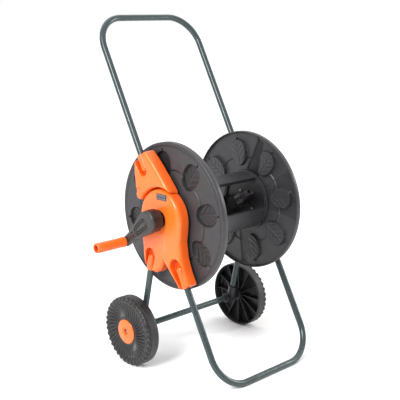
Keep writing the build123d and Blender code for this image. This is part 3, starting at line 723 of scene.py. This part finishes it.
# ---------------------------------------------------------------- wheels
WHEEL_IN, WHEEL_OUT = reach("wheel_left")
WHEEL_R = (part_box("wheel_left")[1].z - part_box("wheel_left")[0].z) / 2 / MM
CAP_OUT = reach("wheel_cap_left")[1]
CAP_R = 31.0
FACE_W = CAP_OUT - 8    # the ribbed face of the wheel
AXLE_HOLE_R = 5.06
SPOKES = 12
FACE_RIBS = 40
LUGS = 36
WHEEL_STEPS = 480
wheel_profile = [
    (AXLE_HOLE_R, WHEEL_IN), (14, WHEEL_IN), (15, WHEEL_IN + 1), (15, WHEEL_OUT - 15), (31, WHEEL_OUT - 13),
    (60, WHEEL_OUT - 11), (WHEEL_R - 8, WHEEL_OUT - 10), (WHEEL_R - 5.5, WHEEL_OUT - 12),
    (WHEEL_R - 4.5, WHEEL_OUT - 22), (WHEEL_R - 4, WHEEL_IN + 1.2), (WHEEL_R - 3, WHEEL_IN),
    (WHEEL_R - 1.4, WHEEL_IN + 0.6),
    (WHEEL_R, WHEEL_IN + 2.6), (WHEEL_R, WHEEL_IN + 8), (WHEEL_R, WHEEL_IN + 14),
    (WHEEL_R, WHEEL_OUT - 13), (WHEEL_R, WHEEL_OUT - 11.5), (WHEEL_R - 1.6, WHEEL_OUT - 10.6),
    (WHEEL_R - 1.6, WHEEL_OUT - 9.6), (WHEEL_R, WHEEL_OUT - 8.6), (WHEEL_R - 0.2, WHEEL_OUT - 6),
    (WHEEL_R - 1.4, WHEEL_OUT - 3.2), (WHEEL_R - 4, WHEEL_OUT - 1), (WHEEL_R - 7, WHEEL_OUT),
    (WHEEL_R - 11, WHEEL_OUT - 0.3), (WHEEL_R - 14, WHEEL_OUT - 1.5), (WHEEL_R - 18, WHEEL_OUT - 3.4),
    (66, FACE_W + 0.4), (62, FACE_W), (57, FACE_W - 0.2), (52, FACE_W - 0.2), (47, FACE_W),
    (42, FACE_W + 0.6), (38, FACE_W + 1.6), (34, FACE_W + 2.8), (32, FACE_W + 3), (30, FACE_W + 3),
    (29.4, FACE_W + 2), (29.4, FACE_W - 2), (28, FACE_W - 2.5), (AXLE_HOLE_R, FACE_W - 2.5),
]
# the profile's points that carry the ribs, the lugs and the tread bars
SWIRL_FROM, SWIRL_TO = 26, 33
SHOULDER_FROM, SHOULDER_TO = 19, 25
TREAD_FROM, TREAD_TO = 12, 16


def wheel_waves(angle, radius, number):
    """Waves of the swirled ribs and of the lugs, and where each of them lies."""
    ribs = np.cos((angle + (radius - 34) * 0.006) * FACE_RIBS)
    face = (number >= SWIRL_FROM) & (number <= SWIRL_TO)
    shoulder = (number >= SHOULDER_FROM) & (number <= SHOULDER_TO)
    return ribs, np.cos(angle * LUGS), face, shoulder


def wheel_relief(angle, radius, out, number):
    """Swirled ribs on the face, lugs on the shoulder, fine bars across the tread."""
    ribs, lugs, face, shoulder = wheel_waves(angle, radius, number)
    wave = np.clip(ribs * 1.8, -1, 1)
    lug = np.clip(lugs * 2.2, -1, 1)
    bars = np.clip(np.cos(angle * LUGS * 3) * 2, -1, 1)
    tread = (number >= TREAD_FROM) & (number <= TREAD_TO)
    more_w = np.where(face, 1.4 * wave, 0) + np.where(shoulder, 0.9 * lug - 0.9, 0)
    more_r = np.where(shoulder, 0.7 * lug - 0.7, 0) + np.where(tread, 0.25 * bars - 0.25, 0)
    return more_r, more_w


def wheel_shade():
    """Painted shade between the swirled ribs and between the shoulder's lugs."""
    number = np.arange(len(wheel_profile))[None, :]
    radius = np.array([p[0] for p in wheel_profile])[None, :]
    angle = np.linspace(0, 2 * pi, WHEEL_STEPS, endpoint=False)[:, None] + 0 * radius
    ribs, lugs, face, shoulder = wheel_waves(angle, radius, number)
    return np.where(face, 0.85 * (ribs < 0.1), 0) + np.where(shoulder, 0.7 * (lugs < -0.3), 0)


def wheel_spoke(side, spoke):
    """Back rib of a wheel as points and faces."""
    turn = 2 * pi * spoke / SPOKES
    points, faces = block(side, (14, -0.9, WHEEL_IN + 9), (WHEEL_R - 4.2, 0.9, WHEEL_OUT - 10))
    spun = Matrix.Rotation(turn, 4, "X")
    hub = place(side, 0.0, 0.0, 0.0)
    shift = place(side, AXLE_UV[0], AXLE_UV[1], 0.0) - hub
    return [tuple(spun @ Vector(p - hub) + Vector(hub + shift)) for p in points], faces


cap_profile = [(radius, CAP_OUT - drop) for radius, drop in (
    (8, 10), (27.2, 10), (29.2, 9), (29.2, 4.8), (30.6, 4.7), (CAP_R, 4.1), (CAP_R, 3.2),
    (30, 2.1), (27, 1.4), (20, 0.9), (15.4, 0.8), (14.6, 0.6), (13.8, 0), (12.4, 0),
    (11.6, 0.5), (11, 1.4), (9.4, 1.8), (8, 2.4),
)]
for side, name in SIDES:
    wheel = turned(f"wheel_moulding_{name}", side, AXLE_UV, wheel_profile, WHEEL_STEPS, wheel_relief)
    darken(wheel, wheel_shade())
    ribs = [add_mesh("rib", *wheel_spoke(side, n), smooth=False) for n in range(SPOKES)]
    join(wheel, *ribs)
    dress(wheel, "wheel_black", f"wheel_{name}", f"wheel_{name}")
    dress(turned(f"hub_cap_{name}", side, AXLE_UV, cap_profile, 96),
          "orange_plastic", f"wheel_{name}", f"wheel_cap_{name}")

# ---------------------------------------------------------------- drum flanges
FLANGE_R = 180.0
LEAVES = 8
LEAF_AT = 125.0
LEAF_HALF_LONG = 34.0
LEAF_HALF_WIDE = 26.0
LEAF_DEPTH = 8.0
FLANGE_STEPS = 560
WEB_FROM, WEB_TO = 84, 166      # radii of the pressed part of a flange
CORE_IN_R = 73                  # inside the core panels
WEDGE_ANGLES = (107, 272)       # sunk wedges on the inlet flange, in degrees
RIB_ANGLES = (146, 189)         # fine ribs on the inlet flange


def leaf_place(angle, radius, start):
    """Along (outwards) and across a leaf, each 1 at its edge, and the angle past its middle."""
    step = 2 * pi / LEAVES
    turn = (angle - start + step / 2) % step - step / 2
    along = (radius * np.cos(turn) - LEAF_AT) / LEAF_HALF_LONG
    across = radius * np.sin(turn) / LEAF_HALF_WIDE
    return along, across, (angle - start) % step / step


def leaf_share(along, across):
    """1 inside a leaf and 0 outside, with an egg outline that ends in a point at the rim side."""
    egg = 1 - np.abs(along) ** 2.4 - np.abs(across * (1 - 0.12 * along)) ** 2
    tip = 0.09 - np.abs(across - 0.10) - np.clip(np.abs(along - 1.0) - 0.12, 0, 9) * 0.5
    return np.clip(np.maximum(egg * 13, tip * 12), 0, 1)


def stem_share(radius, past):
    """1 on the curved stems that chain the leaves."""
    stem_r = LEAF_AT - 22 + 12 * np.sin(past * pi)
    return np.exp(-((radius - stem_r) / 1.9) ** 2) * (past > 0.24) * (past < 0.78)


def leaf_relief(angle, radius, start):
    """Height of the deep leaves, with a tilted ribbed floor, and of the stems."""
    along, across, past = leaf_place(angle, radius, start)
    inside = leaf_share(along, across)
    midrib = np.exp(-((across + 0.08) / 0.07) ** 2)
    veins = np.clip(np.cos((along * 3.0 - np.abs(across) * 2.2) * pi * 1.5) * 6 - 5, 0, 1)
    floor = LEAF_DEPTH - 1.6 * across - 1.3 * np.maximum(midrib, veins)
    return -floor * inside - 2.4 * stem_share(radius, past) * (1 - inside)


def leaf_shade(angle, radius, start, floor):
    """Painted shade: dark walls, the floor as dark as asked, and dark stems."""
    along, across, past = leaf_place(angle, radius, start)
    inside = leaf_share(along, across)
    wall = np.clip(4.6 * inside * (1 - inside), 0, 1)
    return np.maximum(np.maximum(wall, floor * inside), 0.9 * stem_share(radius, past) * (1 - inside))


def hose_side_relief(angle, radius):
    """Two sunk wedges that narrow towards the rim and two fine ribs, on the inlet flange."""
    height = 0 * radius
    for middle in WEDGE_ANGLES:
        off = (angle - radians(middle) + pi) % (2 * pi) - pi
        half_wide = 23 - (radius - WEB_FROM) * 0.155
        gap = half_wide - np.abs(radius * np.sin(off))
        height = np.where(np.cos(off) > 0, height - 3.0 * np.clip(gap / 1.5, 0, 1), height)
    for middle in RIB_ANGLES:
        off = (angle - radians(middle) + pi) % (2 * pi) - pi
        rib = 0.9 * np.exp(-(radius * np.sin(off) / 0.9) ** 2)
        height = np.where(np.cos(off) > 0, height + rib, height)
    return height


def flange_rise(angle, radius, start, inlet):
    """Height of the pressed leaves and, on the inlet flange, of its wedges and ribs."""
    rise = leaf_relief(-angle if inlet else angle, radius, start)
    if inlet:
        wedge = hose_side_relief(angle, radius)
        rise = np.where(wedge < -0.1, -wedge, rise - wedge)
    return rise


def flange_shade(angle, radius, start, inlet):
    """Painted shade in the leaves and, on the inlet flange, in the wedges, along the ribs and over the
    sector between the ribs.
    """
    shade = leaf_shade(-angle if inlet else angle, radius, start, 0.0 if inlet else 0.5)
    if inlet:
        wedge = hose_side_relief(angle, radius)
        # painted shade over the sector between the two fine ribs
        between = (angle > radians(RIB_ANGLES[0])) & (angle < radians(RIB_ANGLES[1]))
        shade = np.maximum(shade, 0.3 * between)
        # painted shade: dark in the sunk wedges and a little darker along the ribs
        shade = np.where(wedge < -0.1, np.clip(-wedge, 0, 1), shade + 0.5 * np.abs(wedge))
    return shade


def flange(name, side, web_in, web_out, lip_in, lip_out, start, inlet):
    """Flange with a pressed web between two faces and a turned rim."""
    face_rows = np.linspace(WEB_FROM, WEB_TO, 66)
    outer = [(14, web_out), (60, web_out)] + [(r, web_out) for r in face_rows]
    groove = [(167.5, web_out), (168.5, web_out - 1.2), (170.5, web_out - 1.4), (172, web_out - 0.2)]
    lip = [
        (174, lip_out - 0.2), (176, lip_out), (178, lip_out - 0.2), (179.4, lip_out - 1),
        (FLANGE_R, lip_out - 2.4), (FLANGE_R, (lip_in + lip_out) / 2), (FLANGE_R, lip_in + 1.2),
        (179, lip_in), (177.4, lip_in + 0.2), (176.8, lip_in + 2), (176.4, web_in - 1.5), (175, web_in),
    ]
    inner = [(r, web_in) for r in reversed(face_rows)] + [(60, web_in), (14, web_in)]
    profile = outer + groove + lip + inner
    first, last = 2, 2 + len(face_rows)
    back_first = len(outer + groove + lip)

    def relief(angle, radius, out, number):
        front = (number >= first) & (number < last)
        back = (number >= back_first) & (number < back_first + len(face_rows))
        return 0 * radius, np.where(front | back, flange_rise(angle, radius, start, inlet), 0)

    piece = turned(name, side, (0.0, 0.0), profile, FLANGE_STEPS, relief)
    radius = np.array([p[0] for p in profile])[None, :]
    angle = np.linspace(0, 2 * pi, FLANGE_STEPS, endpoint=False)[:, None] + 0 * radius
    radius = radius + 0 * angle
    rows = np.arange(len(profile))[None, :]
    shade = flange_shade(angle, radius, start, inlet)
    shade = np.where((radius < WEB_FROM - 1) | (radius > WEB_TO + 0.5), 0, shade)
    # painted shade on the flange's inner face inside the core
    shade = np.where((radius < CORE_IN_R) & (rows >= back_first), 0.9, shade)
    darken(piece, shade)
    return piece


START = radians(180 - 11)
LEFT_IN, LEFT_OUT = reach("flange_left")
RIGHT_IN, RIGHT_OUT = reach("flange_right")
left = flange("drum_flange_crank_side", -1, LEFT_OUT - 4.6, LEFT_OUT - 1.2, LEFT_IN, LEFT_OUT, START, False)
right = flange("drum_flange_inlet_side", 1, RIGHT_OUT - 4.6, RIGHT_OUT - 1.2, RIGHT_IN, RIGHT_OUT,
               -START, True)
BEAD_RINGS = ((70.0, 72.3), (75.1, 78.6))      # inside and outside the core panels' ends


def bead(name, side, low, high):
    """Two rings that hold the ends of the core panels."""
    rings = []
    for inner_r, outer_r in BEAD_RINGS:
        profile = [
            (inner_r, low), (outer_r, low), (outer_r, high - 1), (outer_r - 0.6, high),
            (inner_r + 0.4, high), (inner_r, high - 0.6),
        ]
        rings.append(turned(name, side, (0.0, 0.0), profile, 160))
    return rings


LEFT_WEB, RIGHT_WEB = LEFT_OUT - 4.6, RIGHT_OUT - 4.6
join(left, *bead("bead", -1, LEFT_WEB - 7, LEFT_WEB + 0.2))
join(right, *bead("bead", 1, RIGHT_WEB - 7, RIGHT_WEB + 0.2))
dress(left, "drum_grey", "drum", "flange_left")
dress(right, "drum_grey", "drum", "flange_right")

# three bent panels of the core, their long edges turned in
CORE_MIDDLES = (93, -27, -147)
for number, middle in enumerate(CORE_MIDDLES, start=1):
    offsets = [-27, -25.4, *np.linspace(-25.2, 25.2, 29), 25.4, 27]
    sections = [(75.0, 65.0 if abs(off) > 25.3 else 72.4) for off in offsets]
    panel = swept_arc(f"core_shell_{number}", [radians(middle + off) for off in offsets], sections,
                      (-LEFT_WEB + 0.1, RIGHT_WEB - 0.1))
    # painted shade on the panels' inner faces, inside the core
    darken(panel, np.tile([0.0, 0.0, 0.9, 0.9], len(offsets)))
    dress(panel, "drum_grey", "drum", f"core_panel_{number}")

# ---------------------------------------------------------------- axle brackets
TEE_IN, TEE_OUT = reach("axle_bracket_left")
TEE_R = 11.6
STEM_TOP = 33                   # how far the stem reaches up the leg
AXLE_TUBE_END = 151


def tee_shape(u, v, w):
    """Sleeve on the axle and stem up the leg, with a collar at each open end."""
    level = np.hypot(u - AXLE_UV[0], v - AXLE_UV[1])
    sleeve = np.maximum(level - TEE_R, np.abs(w - (TEE_IN + TEE_OUT) / 2) - (TEE_OUT - TEE_IN) / 2)
    collar = np.maximum(level - TEE_R - 1.2, np.abs(w - TEE_IN - 3) - 3)
    axis = tube_run(on_leg, AXLE_UV[1], AXLE_UV[1] + STEM_TOP, TUBE_W)
    run = Vector((axis[1][0] - AXLE_UV[0], STEM_TOP)).normalized()
    height = (u - AXLE_UV[0]) * run.x + (v - AXLE_UV[1]) * run.y
    stem = np.maximum(capsule((u, v, w), *axis, TEE_R, TEE_R), height - STEM_TOP)
    brim = np.maximum(capsule((u, v, w), *axis, TEE_R + 1.4, TEE_R + 1.4), np.abs(height - 30) - 3)
    solid = smooth_min(smooth_min(sleeve, stem, 4), np.minimum(collar, brim), 1)
    solid = np.maximum(solid, 5.1 - level)
    solid = np.maximum(solid, -np.maximum(level - 8.1, w - AXLE_TUBE_END))
    leg = capsule((u, v, w), *tube_run(on_leg, AXLE_UV[1], -150, TUBE_W), 8.15, 8.15)
    return np.maximum(solid, -np.maximum(leg, 13 - height))


for side, name in SIDES:
    tee = moulded(f"axle_tee_{name}", side, tee_shape,
                  (AXLE_UV[0] - 26, AXLE_UV[1] - 16, TEE_IN - 2),
                  (AXLE_UV[0] + 16, AXLE_UV[1] + 38, TEE_OUT + 2), 1.0)
    soften(tee, 1, 0.7)
    dress(tee, "black_plastic", "frame", f"axle_bracket_{name}")

# ---------------------------------------------------------------- stage
VIEW_FROM = (-1367.7, -1411.0, 473.8)       # camera in (w left of middle, u, v)
VIEW_YAW, VIEW_PITCH, VIEW_ROLL = 0.75327, 0.22791, -0.00656
camera_data = bpy.data.cameras.new("camera")
camera_data.sensor_width = 36
camera_data.lens = 72.2
camera = bpy.data.objects.new("camera", camera_data)
bpy.context.collection.objects.link(camera)
bpy.context.scene.camera = camera
look = Vector((sin(VIEW_YAW) * cos(VIEW_PITCH), cos(VIEW_YAW) * cos(VIEW_PITCH), -sin(VIEW_PITCH)))
right_hand = look.cross(Vector((0, 0, 1))).normalized()
upward = right_hand.cross(look)
rolled_right = right_hand * cos(VIEW_ROLL) + upward * sin(VIEW_ROLL)
rolled_up = upward * cos(VIEW_ROLL) - right_hand * sin(VIEW_ROLL)
turn = Matrix((rolled_right, rolled_up, -look)).transposed()
camera.matrix_world = Matrix.LocRotScale(
    Vector((MID_X + VIEW_FROM[0] * MM, DRUM.y + VIEW_FROM[1] * MM, DRUM.z + VIEW_FROM[2] * MM)),
    turn, None,
)

floor = add_mesh("floor", [(-30, -30, 0), (30, -30, 0), (30, 30, 0), (-30, 30, 0)], [(0, 1, 2, 3)])
pale, nodes, links, shader, where = node_material("pale_floor")
tone = mix_colour(nodes, links, noise(nodes, links, where, 3.0), (0.93, 0.93, 0.93), (0.95, 0.95, 0.95))
links.new(tone, shader.inputs["Base Color"])
shader.inputs["Roughness"].default_value = 0.9
shader.inputs["Specular IOR Level"].default_value = 0.1
floor.data.materials.append(pale)

WORLD_DIM = 0.30      # how bright the studio is on the viewer's side, against 1 behind the cart
WORLD_TOP = 0.75      # and how much brighter it is overhead
world = bpy.data.worlds.new("studio")
world.use_nodes = True
sky = world.node_tree
heading = sky.nodes.new("ShaderNodeTexCoord")
facing = sky.nodes.new("ShaderNodeVectorMath")
facing.operation = "DOT_PRODUCT"
facing.inputs[1].default_value = (0.68, 0.73, 0.0)
sky.links.new(heading.outputs["Generated"], facing.inputs[0])
glow = spread(sky.nodes, sky.links, facing.outputs["Value"], WORLD_DIM, 1.0, -0.1, 0.5)
rising = sky.nodes.new("ShaderNodeSeparateXYZ")
sky.links.new(heading.outputs["Generated"], rising.inputs[0])
overhead = spread(sky.nodes, sky.links, rising.outputs["Z"], 0.0, WORLD_TOP, 0.25, 0.8)
light_sum = sky.nodes.new("ShaderNodeMath")
light_sum.operation = "ADD"
sky.links.new(glow, light_sum.inputs[0])
sky.links.new(overhead, light_sum.inputs[1])
sky.links.new(light_sum.outputs[0], sky.nodes["Background"].inputs["Strength"])
sky.nodes["Background"].inputs["Color"].default_value = (1, 1, 1, 1)
bpy.context.scene.world = world
bpy.context.scene.view_settings.view_transform = "Standard"


def soft_light(name, spot, size, power):
    """Square softbox aimed at the drum."""
    data = bpy.data.lights.new(name, "AREA")
    data.size = size
    data.energy = power
    lamp = bpy.data.objects.new(name, data)
    lamp.location = spot
    aim = Vector((MID_X, DRUM.y, DRUM.z)) - Vector(spot)
    lamp.rotation_euler = aim.to_track_quat("-Z", "Y").to_euler()
    bpy.context.collection.objects.link(lamp)


soft_light("key", (-2.4, -0.7, 1.9), 0.9, 60)
soft_light("strip", (2.3, -1.5, 1.3), 0.35, 28)

sun_data = bpy.data.lights.new("sun", "SUN")
sun_data.energy = 1.1
sun_data.angle = radians(25)
sun = bpy.data.objects.new("sun", sun_data)
sun.rotation_euler = Vector((0.62, 0.10, -0.62)).to_track_quat("-Z", "Y").to_euler()
bpy.context.collection.objects.link(sun)
